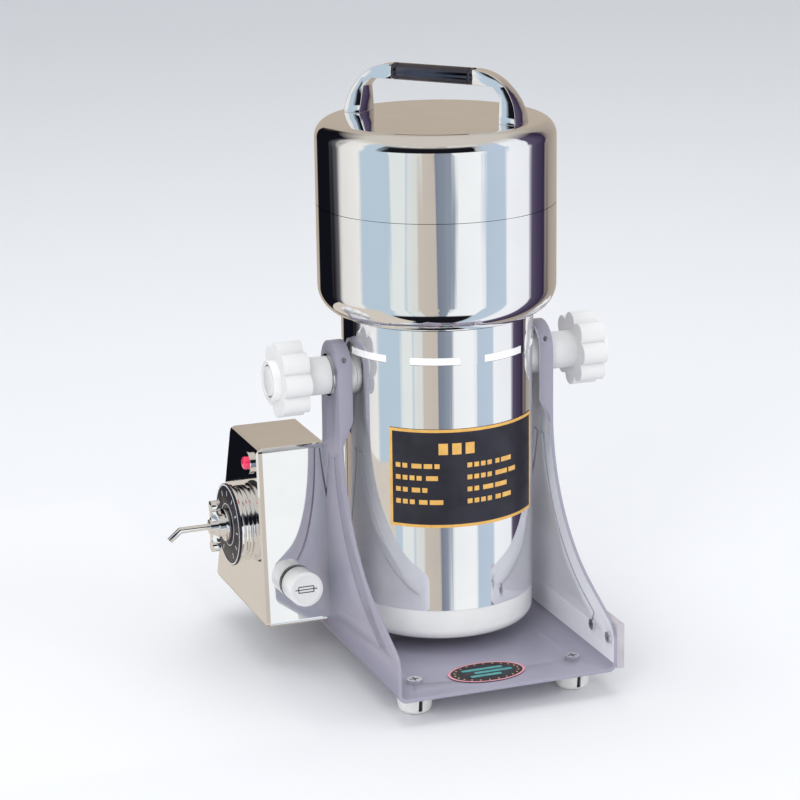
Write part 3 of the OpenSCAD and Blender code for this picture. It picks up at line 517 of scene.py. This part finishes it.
def spinOutline(points, turns):  # a point is extruded along the outline, which is then spun
    clearSelection()
    bpy.ops.mesh.primitive_plane_add(size=1)
    shell = bpy.context.active_object
    editMode("VERT")
    bpy.ops.mesh.select_all(action="SELECT")
    bpy.ops.mesh.merge(type="CENTER")
    bpy.ops.transform.translate(value=(points[0][0], 0, points[0][1]))
    for a, b in zip(points, points[1:]):
        step = (b[0] - a[0], 0, b[1] - a[1])
        bpy.ops.mesh.extrude_region_move(TRANSFORM_OT_translate={"value": step})
    bpy.ops.mesh.select_all(action="SELECT")
    bpy.ops.mesh.spin(steps=turns, angle=2 * math.pi, center=(0, 0, 0), axis=(0, 0, 1))
    objectMode()
    mergeAndTurnOut(shell)
    return shell


def makeShells(v):
    thick, steps = v["thick"], v["steps"]
    low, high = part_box("lid_shell")
    radius, bend = high.x, v["lidBend"]
    corner = (radius - bend, high.z - bend)
    seam = low.z - v["seam"]
    outline = [(radius, low.z)] + bendPoints(corner, bend, 0, 90, steps) + [(0, high.z), (0, high.z - thick)]
    outline += bendPoints(corner, bend - thick, 90, 0, steps) + [(radius - thick, low.z), (radius, low.z)]
    settle(spinOutline(outline, v["turns"]), "spunLid", "lid", "chrome", ["lid_shell"])
    low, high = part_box("chamber_bowl")
    bend = v["bowlBend"]
    hole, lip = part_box("shaft_seal")[1].x + v["sealGap"], radius - v["spigotIn"]
    corner = (radius - bend, low.z + bend)
    outline = [(hole, low.z)] + bendPoints(corner, bend, -90, 0, steps)
    outline += [(radius, seam), (lip, seam), (lip, high.z), (lip - thick, high.z)]
    outline += [(lip - thick, seam - v["spigotDeep"]), (radius - thick, seam - v["spigotRoot"])]
    outline += bendPoints(corner, bend - thick, 0, -90, steps) + [(hole, low.z + thick), (hole, low.z)]
    settle(spinOutline(outline, v["turns"]), "spunBowl", "mill", "chrome", ["chamber_bowl"])


makeShells(shellShape)


footShape = {
    "taper": 0.80,  # size of the sole against the top
    "round": 3.0 * mm,
    "slotWide": 2.4 * mm,
    "slotDeep": 3.0 * mm,
    "slotLow": 2.0 * mm,
    "slotBelowTop": 1.0 * mm,
    "slotPast": 2.0 * mm,
    "wallFrom": 1.0 * mm,
}


def makeFoot(x, y, v):
    radius = mounts["foot_pattern"]["dims"]["stud_r_mm"] * mm
    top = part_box("rubber_feet")[1].z
    front = y - radius
    half = v["slotWide"] / 2
    foot = addDrum(radius, 0, top, 48, (x, y))
    selectFaces(foot, lambda face: face.normal.z < -upright)
    bpy.ops.transform.resize(value=(v["taper"], v["taper"], 1))
    bpy.ops.mesh.bevel(offset=v["round"], segments=5)
    objectMode()
    slot = addBlock((x - half, front - v["slotPast"], v["slotLow"]),
                    (x + half, front + v["slotDeep"], top - v["slotBelowTop"]))
    cutOrJoin(foot, slot, "DIFFERENCE")
    foot.data.materials.append(looks["whiteRubber"])
    foot.data.materials.append(looks["blackRubberAndSlotShade"])
    for face in foot.data.polygons:  # the slot's end wall gets the black finish: painted shade where it stands in shadow
        inSlot = abs(face.center.x - x) < half and face.center.y > front + v["wallFrom"]
        if inSlot and face.normal.y < -0.99:
            face.material_index = 1
    return foot


def makeFeet(v):
    dims = mounts["foot_pattern"]["dims"]
    across, along = dims["spacing_x_mm"] * mm / 2, dims["spacing_y_mm"] * mm / 2
    feet = [makeFoot(x, y, v) for x in (-across, across) for y in (-along, along)]
    settle(joinPieces(feet), "roundedFeet", "stand", "whiteRubber", ["rubber_feet"])


makeFeet(footShape)
print("knobs and feet made")


gripShape = {
    "groove": 0.5 * mm,
    "grooveAt": 2.5 * mm,
    "grooveWide": 0.8 * mm,
    "grooveWall": 0.05 * mm,
    "round": 0.3 * mm,
    "turn": -50.0,
}


def makeGrip(v):
    low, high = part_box("handle_grip")
    radius = (high.z - low.z) / 2
    turn = math.radians(v["turn"])
    half = ((high.x - low.x) / 2 - radius * abs(math.sin(turn))) / abs(math.cos(turn))
    outer, inner = half - v["grooveAt"], half - v["grooveAt"] - v["grooveWide"]
    grooveMiddle = (outer + inner) / 2
    grip = addDrum(radius, -half, half, 64)
    editMode()
    for height in (-outer, -inner, inner, outer):
        bpy.ops.mesh.select_all(action="SELECT")
        bpy.ops.mesh.bisect(plane_co=(0, 0, height), plane_no=(0, 0, 1))
    objectMode()
    selectFaces(grip, lambda face: abs(face.normal.z) < 0.1 and abs(abs(face.center.z) - grooveMiddle) < near)
    bpy.ops.mesh.inset(thickness=v["grooveWall"])
    bpy.ops.transform.resize(value=(1 - v["groove"] / radius, 1 - v["groove"] / radius, 1))
    objectMode()
    softEdges(grip, v["round"])
    turnTo(grip, (math.cos(turn), math.sin(turn), 0), (0, 0, (low.z + high.z) / 2))
    settle(grip, "darkGrip", "lid", "darkChrome", ["handle_grip"])


makeGrip(gripShape)


lensShape = {"sides": 48, "rings": 24, "bulge": 0.45}


def makeLens(v):
    low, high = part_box("lamp_lens")
    radius = (high.z - low.z) / 2
    centre = (low + high) / 2
    dome = radius * v["bulge"]
    neck = high.x - low.x - dome
    clearSelection()
    bpy.ops.mesh.primitive_uv_sphere_add(segments=v["sides"], ring_count=v["rings"], radius=radius)
    lens = bpy.context.active_object
    editMode()
    bpy.ops.mesh.select_all(action="SELECT")
    bpy.ops.mesh.bisect(plane_co=(0, 0, 0), plane_no=(0, 0, 1), clear_inner=True, use_fill=False)
    bpy.ops.mesh.select_all(action="SELECT")
    bpy.ops.transform.resize(value=(1, 1, v["bulge"]))
    objectMode()
    editMode("EDGE")
    bpy.ops.mesh.select_all(action="DESELECT")
    bpy.ops.mesh.select_non_manifold()
    bpy.ops.mesh.extrude_region_move(TRANSFORM_OT_translate={"value": (0, 0, -neck)})
    bpy.ops.mesh.edge_face_add()
    objectMode()
    mergeAndTurnOut(lens)
    turnTo(lens, (-1, 0, 0), (low.x + dome, centre.y, centre.z))
    settle(lens, "lampDome", "stand", "redLens", ["lamp_lens"], 60)


makeLens(lensShape)


def flatRing(outer, inner, thick):  # lies on z = 0
    clearSelection()
    bpy.ops.mesh.primitive_circle_add(vertices=96, radius=outer, fill_type="NOTHING")
    ringPiece = bpy.context.active_object
    editMode("EDGE")
    bpy.ops.mesh.select_all(action="SELECT")
    bpy.ops.mesh.extrude_region_move()
    bpy.ops.transform.resize(value=(inner / outer, inner / outer, 1))
    objectMode()
    mergeAndTurnOut(ringPiece)
    applyModifier(ringPiece, "SOLIDIFY", thickness=thick, offset=0)
    mergeAndTurnOut(ringPiece)
    return ringPiece


fuseCap = {
    "length": 17 * mm,
    "start": 2.3 * mm,
    "round": 0.8 * mm,
    "rim": 2.4 * mm,
    "sunk": 0.3 * mm,
    "pin": 3.15 * mm,
    "pinEnds": (-6 * mm, 3 * mm),
    "symbolLong": 9 * mm,
    "symbolWide": 3.4 * mm,
    "wireLong": 6.48 * mm,  # half the wire
    "line": 0.5 * mm,
    "ink": 0.12 * mm,
}


def makeFuseCap(v):
    low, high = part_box("fuse_cap")
    hinge = joints["fuse_cap_turn"]
    axis = Vector(hinge["axis"]).normalized()
    body = addDrum((high.x - low.x) / 2, v["start"], v["length"], 64)
    selectFaces(body, lambda face: face.normal.z > upright)
    sinkFaces(v["rim"], v["sunk"])
    objectMode()
    softEdges(body, v["round"], 4)
    cap = joinPieces([body, addDrum(v["pin"], *v["pinEnds"], 32)])
    turnTo(cap, axis, hinge["pos_m"])
    settle(cap, "fuseCapBody", "fuse_cap", "whitePlastic", ["fuse_cap"])
    face = v["length"] - v["sunk"]
    halfLine, halfLong, halfWide = v["line"] / 2, v["symbolLong"] / 2, v["symbolWide"] / 2
    lines = []  # middle and half sizes of a fuse symbol's lines: a bar with a wire through it
    for side in (-1, 1):
        lines.append((0, side * halfWide, halfLong, halfLine))
        lines.append((side * halfLong, 0, halfLine, halfWide))
    lines.append((0, 0, v["wireLong"], halfLine))
    marks = [addBlock((x - wide, y - high, face), (x + wide, y + high, face + v["ink"]))
             for x, y, wide, high in lines]
    ink = joinPieces(marks)
    turnTo(ink, axis, hinge["pos_m"])
    settle(ink, "fuseMark", "fuse_cap", "blackPlasticAndGrooveShade")


makeFuseCap(fuseCap)
print("grip, lens and fuse cap made")


dialPrint = {
    "edge": 0.4 * mm, "rim": 1.2 * mm, "innerRing": 0.52, "innerLine": 0.5 * mm, "ink": 0.12 * mm,
    "marks": 11, "firstMark": -150.0, "lastMark": 150.0,
    "markLong": 3.2 * mm, "markWide": 0.7 * mm, "markAt": 0.78,
}


def makeDialPrint(v):
    low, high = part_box("timer_dial")
    radius = (high.z - low.z) / 2
    inner = radius * v["innerRing"]
    pieces = [flatRing(radius - v["edge"], radius - v["rim"], v["ink"]),
              flatRing(inner, inner - v["innerLine"], v["ink"])]
    reach = radius * v["markAt"]
    step = (v["lastMark"] - v["firstMark"]) / (v["marks"] - 1)
    for i in range(v["marks"]):
        mark = addBlock((-v["markWide"] / 2, -v["markLong"] / 2, -v["ink"] / 2),
                        (v["markWide"] / 2, v["markLong"] / 2, v["ink"] / 2))
        turn = math.radians(v["firstMark"] + i * step)
        mark.location = (-reach * math.sin(turn), reach * math.cos(turn), 0)
        mark.rotation_euler = (0, 0, turn)
        applyPlace()
        pieces.append(mark)
    ink = joinPieces(pieces)
    turnTo(ink, (-1, 0, 0), (low.x, (low.y + high.y) / 2, (low.z + high.z) / 2))
    settle(ink, "dialMarks", "stand", "printWhite")


makeDialPrint(dialPrint)


labelPrint = {
    "border": 1.7 * mm, "ink": 0.15 * mm,
    "titleHigh": (42.5 * mm, 49 * mm), "title": [(-111, -105.5), (-103, -97.5), (-95, -89.5)],
    "rowHigh": 2.7 * mm, "rows": [34.5 * mm, 27.5 * mm, 20.5 * mm, 13.5 * mm], "gap": 1.3,
    "columns": {  # start of each column in degrees, then the lengths of each row's bars
        -137: [(3, 3, 0, 6, 5, 3), (3, 3, 3, 3, 0, 7), (3, 3, 0, 5, 3), (3, 3, 3, 0, 5, 8)],
        -94: [(3, 3, 3, 3, 0, 3, 8), (3, 3, 3, 3, 0, 9, 6), (3, 3, 0, 7, 9), (3, 3, 3, 3, 0, 4, 7)],
    },
}


degreesPerStep = 4


def curvedBar(radius, thick, low, high, start, end):  # part of a tube wall round the mill's axis
    clearSelection()
    bpy.ops.mesh.primitive_plane_add(size=1)
    bar = bpy.context.active_object
    bar.scale = (thick, high - low, 1)
    bar.rotation_euler = (math.pi / 2, 0, 0)
    bar.location = (radius, 0, (low + high) / 2)
    applyPlace()
    bar.rotation_euler = (0, 0, math.radians(end))
    applyPlace()
    editMode()
    bpy.ops.mesh.select_all(action="SELECT")
    steps = max(2, round((end - start) / degreesPerStep))
    bpy.ops.mesh.spin(steps=steps, angle=math.radians(end - start), center=(0, 0, 0), axis=(0, 0, 1))
    objectMode()
    mergeAndTurnOut(bar)
    return bar


def makeLabelPrint(v):
    low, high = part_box("label_plate")
    radius = -low.y
    half = math.degrees(math.asin(high.x / radius))
    start, end = -90 - half, -90 + half
    wide = math.degrees(v["border"] / radius)
    spans = [(low.z, low.z + v["border"], start, end), (high.z - v["border"], high.z, start, end),
             (low.z, high.z, start, start + wide), (low.z, high.z, end - wide, end)]
    spans += [(low.z + v["titleHigh"][0], low.z + v["titleHigh"][1], a, b) for a, b in v["title"]]
    for columnStart, rows in v["columns"].items():
        for height, lengths in zip(v["rows"], rows):
            at, rowLow = columnStart, low.z + height
            for length in lengths:  # a length of nothing leaves a wider gap
                if length:
                    spans.append((rowLow, rowLow + v["rowHigh"], at, at + length))
                at += length + v["gap"]
    bars = [curvedBar(radius, v["ink"], *span) for span in spans]
    settle(joinPieces(bars), "labelBars", "mill", "printGold")


makeLabelPrint(labelPrint)

notches = {
    "count": 8, "arc": 30.0, "first": -105.0,
    "low": 0.2 * mm, "high": 4.3 * mm, "sunk": 0.8 * mm, "thick": 0.6 * mm,
}


def makeNotchGlowStrips(v):  # white strips at the back of the collar's notches, made to glow: painted light where the notches look bright
    low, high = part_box("neck_collar")
    radius, bottom, top = high.x - v["sunk"], low.z + v["low"], low.z + v["high"]
    starts = [v["first"] + (i + 0.5) * 360 / v["count"] for i in range(v["count"])]
    strips = [curvedBar(radius, v["thick"], bottom, top, start, start + v["arc"]) for start in starts]
    settle(joinPieces(strips), "notchGlowStrips", "mill", "paintedLightNotchWhite")


makeNotchGlowStrips(notches)


badgePrint = {
    "edge": 1.5 * mm, "ink": 0.12 * mm,
    "bars": [(-11, 7), (-7, 15), (-13, 11)], "barHigh": 2.6 * mm, "barStep": 4.6 * mm,
    "dots": 22, "dotSize": 0.55 * mm, "dotAt": 0.83,
}


def makeBadgePrint(v):
    low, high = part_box("base_badge")
    centre = (low + high) / 2
    wide, deep = (high.x - low.x) / 2, (high.y - low.y) / 2
    border = flatRing(wide, wide - v["edge"], v["ink"])
    border.scale = (1, deep / wide, 1)
    border.location = (centre.x, centre.y, high.z)
    selectOnly(border)
    applyPlace()
    settle(border, "badgeBorder", "stand", "printPink")
    bars = []
    for i, (a, b) in enumerate(v["bars"]):
        y = centre.y + (i - 1) * v["barStep"]
        bars.append(addBlock((centre.x + a * mm, y - v["barHigh"] / 2, high.z),
                             (centre.x + b * mm, y + v["barHigh"] / 2, high.z + v["ink"])))
    settle(joinPieces(bars), "badgeBars", "stand", "printTeal")
    dots = []
    reachX, reachY = wide * v["dotAt"], deep * v["dotAt"]
    for i in range(v["dots"]):
        turn = 2 * math.pi * i / v["dots"]
        place = (centre.x + reachX * math.cos(turn), centre.y + reachY * math.sin(turn))
        dots.append(addDrum(v["dotSize"], high.z, high.z + v["ink"], 12, place))
    settle(joinPieces(dots), "badgeDots", "stand", "printGold")


makeBadgePrint(badgePrint)
print("label, dial and badge printed")


stage = {
    "width": 8.0, "front": 3.0, "behind": 3.6, "curveRadius": 1.6, "curveSteps": 14, "height": 4.0,
    "near": (0.84, 0.85, 0.87, 1), "far": (0.80, 0.82, 0.85, 1), "fadeFrom": -0.3, "fadeTo": 2.6,
}


def makeStage(v):
    clearSelection()
    bpy.ops.mesh.primitive_plane_add(size=1)
    floor = bpy.context.active_object
    floor.name = "backdrop"
    floor.scale = (v["width"], v["front"] + v["behind"], 1)
    floor.location = (0, (v["behind"] - v["front"]) / 2, 0)
    applyPlace()
    editMode("EDGE")
    bpy.ops.mesh.select_all(action="DESELECT")
    objectMode()
    for edge in floor.data.edges:  # the back edge is spun up into the wall
        edge.select = all(floor.data.vertices[i].co.y > v["behind"] - 0.01 for i in edge.vertices)
    editMode("EDGE")
    bpy.ops.mesh.spin(steps=v["curveSteps"], angle=-math.pi / 2,
                      center=(0, v["behind"], v["curveRadius"]), axis=(1, 0, 0))
    bpy.ops.mesh.extrude_region_move(TRANSFORM_OT_translate={"value": (0, 0, v["height"])})
    objectMode()
    bpy.ops.object.shade_smooth()
    m, tree, shader = newMaterial("backdropPaper", Roughness=0.9)
    place = tree.nodes.new("ShaderNodeTexCoord")
    split = tree.nodes.new("ShaderNodeSeparateXYZ")
    # the paper's colour runs darker towards the back: painted shade where less light reaches it
    fade = rangeNode(tree, v["fadeFrom"], v["fadeTo"], 0.0, 1.0)
    mix = tree.nodes.new("ShaderNodeMix")
    mix.data_type = "RGBA"
    mix.inputs[6].default_value = v["near"]
    mix.inputs[7].default_value = v["far"]
    tree.links.new(place.outputs["Object"], split.inputs["Vector"])
    tree.links.new(split.outputs["Y"], fade.inputs["Value"])
    tree.links.new(fade.outputs["Result"], mix.inputs["Factor"])
    tree.links.new(mix.outputs[2], shader.inputs["Base Color"])
    floor.data.materials.append(m)
    floor.visible_glossy = False  # polished parts mirror the room below instead


makeStage(stage)

lamps = {  # place, width and height, power
    "keyLeft": {"place": (-1.15, -1.35, 0.95), "size": (0.7, 1.2), "power": 9.0},
    "fillRight": {"place": (1.30, -1.05, 0.75), "size": (0.5, 1.2), "power": 5.0},
    "overhead": {"place": (0.0, 0.3, 1.9), "size": (1.5, 1.5), "power": 12.0},
}


def makeLamp(name, v):
    data = bpy.data.lights.new(name, "AREA")
    data.shape = "RECTANGLE"
    data.size, data.size_y = v["size"]
    data.energy = v["power"]
    lamp = bpy.data.objects.new(name, data)
    scene.collection.objects.link(lamp)
    lamp.location = v["place"]
    lamp.visible_glossy = False
    aim = middle("motor_housing") - Vector(v["place"])
    lamp.rotation_mode = "QUATERNION"
    lamp.rotation_quaternion = aim.to_track_quat("-Z", "Y")


for name, values in lamps.items():
    makeLamp(name, values)

room = {  # what polished parts mirror: bearing in degrees anticlockwise from +X, then tone
    "bands": [
        (-180, (0.50, 0.61, 0.70)), (-156, (0.50, 0.61, 0.70)), (-154, (0.78, 0.83, 0.80)),
        (-142, (0.80, 0.84, 0.82)), (-140, (0.52, 0.62, 0.68)), (-136, (0.74, 0.78, 0.76)),
        (-126, (0.72, 0.74, 0.70)), (-124, (0.60, 0.54, 0.47)), (-112, (0.56, 0.50, 0.44)),
        (-110, (0.20, 0.23, 0.29)), (-98, (0.28, 0.32, 0.38)), (-95, (0.90, 0.93, 0.93)),
        (-68, (0.95, 0.97, 0.97)), (-65, (0.50, 0.60, 0.70)), (-42, (0.52, 0.62, 0.73)),
        (-38, (0.92, 0.94, 0.96)), (-14, (0.88, 0.90, 0.93)), (-10, (0.11, 0.09, 0.15)),
        (16, (0.03, 0.02, 0.05)), (24, (0.36, 0.31, 0.27)), (60, (0.50, 0.43, 0.35)),
        (95, (0.48, 0.41, 0.34)), (98, (0.006, 0.006, 0.01)), (130, (0.006, 0.006, 0.01)),
        (140, (0.12, 0.12, 0.13)), (150, (0.80, 0.78, 0.74)), (172, (0.88, 0.87, 0.83)),
        (176, (0.50, 0.61, 0.70)),
    ],
    "frontDark": [(-168, 0), (-160, 1), (-72, 1), (-64, 0)],  # bearings of the dark patches
    "darkHeights": [(-1.0, 1), (-0.74, 1), (-0.68, 0), (0.10, 0), (0.15, 1), (0.62, 1), (0.70, 0)],
    "streakScale": 5.0, "streakDetail": 6.0, "streakLong": 0.35, "wobble": 0.22,
    "skyFrom": 0.55, "skyTo": 0.8, "sky": (0.62, 0.58, 0.52, 1), "dark": (0.008, 0.008, 0.012, 1),
    "soft": (0.97, 0.98, 1.0, 1), "softPower": 0.80,
}


def setRamp(ramp, stops, low, high):
    ramp.color_ramp.interpolation = "LINEAR"
    while len(ramp.color_ramp.elements) > 1:
        ramp.color_ramp.elements.remove(ramp.color_ramp.elements[0])
    for i, (at, tone) in enumerate(stops):
        position = (at - low) / (high - low)
        stop = ramp.color_ramp.elements[0] if i == 0 else ramp.color_ramp.elements.new(position)
        stop.position = position
        stop.color = (*tone, 1) if isinstance(tone, tuple) else (tone, tone, tone, 1)


def makeRoom(v):
    world = bpy.data.worlds.new("room")
    scene.world = world
    world.use_nodes = True
    tree = world.node_tree
    new, link = tree.nodes.new, tree.links.new

    def mathNode(operation):
        n = new("ShaderNodeMath")
        n.operation = operation
        return n

    place = new("ShaderNodeTexCoord")
    split = new("ShaderNodeSeparateXYZ")
    bearing = mathNode("ARCTAN2")
    link(place.outputs["Generated"], split.inputs["Vector"])
    link(split.outputs["Y"], bearing.inputs[0])
    link(split.outputs["X"], bearing.inputs[1])

    flatter = mathNode("MULTIPLY")  # the bearing is shifted a little so that the bands waver
    flatter.inputs[1].default_value = v["streakLong"]
    spot = new("ShaderNodeCombineXYZ")
    streaks = noiseNode(tree, v["streakScale"], v["streakDetail"])
    wobble = rangeNode(tree, 0.0, 1.0, -v["wobble"], v["wobble"])
    shifted = mathNode("ADD")
    link(split.outputs["Z"], flatter.inputs[0])
    link(bearing.outputs["Value"], spot.inputs["X"])
    link(flatter.outputs["Value"], spot.inputs["Y"])
    link(spot.outputs["Vector"], streaks.inputs["Vector"])
    link(streaks.outputs["Fac"], wobble.inputs["Value"])
    link(bearing.outputs["Value"], shifted.inputs[0])
    link(wobble.outputs["Result"], shifted.inputs[1])

    turn = rangeNode(tree, -math.pi, math.pi, 0.0, 1.0)
    height = rangeNode(tree, -1.0, 1.0, 0.0, 1.0)
    bands, frontDark, darkHeights = (new("ShaderNodeValToRGB") for i in range(3))
    setRamp(bands, v["bands"], -180, 180)
    setRamp(frontDark, v["frontDark"], -180, 180)
    setRamp(darkHeights, v["darkHeights"], -1, 1)
    link(shifted.outputs["Value"], turn.inputs["Value"])
    link(split.outputs["Z"], height.inputs["Value"])
    link(turn.outputs["Result"], bands.inputs["Fac"])
    link(turn.outputs["Result"], frontDark.inputs["Fac"])
    link(height.outputs["Result"], darkHeights.inputs["Fac"])

    patch = mathNode("MULTIPLY")
    skyFade = rangeNode(tree, v["skyFrom"], v["skyTo"], 0.0, 1.0)
    darkened, topped = new("ShaderNodeMix"), new("ShaderNodeMix")
    darkened.data_type = topped.data_type = "RGBA"
    darkened.inputs[7].default_value = v["dark"]
    topped.inputs[7].default_value = v["sky"]
    link(frontDark.outputs["Color"], patch.inputs[0])
    link(darkHeights.outputs["Color"], patch.inputs[1])
    link(patch.outputs["Value"], darkened.inputs["Factor"])
    link(bands.outputs["Color"], darkened.inputs[6])
    link(split.outputs["Z"], skyFade.inputs["Value"])
    link(skyFade.outputs["Result"], topped.inputs["Factor"])
    link(darkened.outputs[2], topped.inputs[6])

    path = new("ShaderNodeLightPath")  # mirror rays see the bands, all others an even light
    mirrored, either = new("ShaderNodeBackground"), new("ShaderNodeMixShader")
    soft = tree.nodes["Background"]
    soft.inputs["Color"].default_value = v["soft"]
    soft.inputs["Strength"].default_value = v["softPower"]
    link(topped.outputs[2], mirrored.inputs["Color"])
    link(path.outputs["Is Glossy Ray"], either.inputs["Fac"])
    link(soft.outputs["Background"], either.inputs[1])
    link(mirrored.outputs["Background"], either.inputs[2])
    link(either.outputs["Shader"], tree.nodes["World Output"].inputs["Surface"])


makeRoom(room)

nearFloor = {"low": (-0.46, -0.10), "high": (-0.108, 0.36), "rise": 0.0005, "tone": (0.66, 0.60, 0.52, 1)}


def makeNearFloor(v):  # the pale floor that the outside of the control box mirrors
    clearSelection()
    bpy.ops.mesh.primitive_plane_add(size=1)
    card = bpy.context.active_object
    card.name = "nearFloor"
    (lowX, lowY), (highX, highY) = v["low"], v["high"]
    card.scale = (highX - lowX, highY - lowY, 1)
    card.location = ((lowX + highX) / 2, (lowY + highY) / 2, v["rise"])
    applyPlace()
    m, tree, shader = newMaterial("nearFloorTone", Roughness=1.0, Base_Color=(0, 0, 0, 1),
                                  Emission_Color=v["tone"], Emission_Strength=1.0)
    card.data.materials.append(m)
    card.visible_camera = card.visible_shadow = card.visible_diffuse = False


makeNearFloor(nearFloor)
scene.view_settings.view_transform = "Standard"
print("stage and light set")
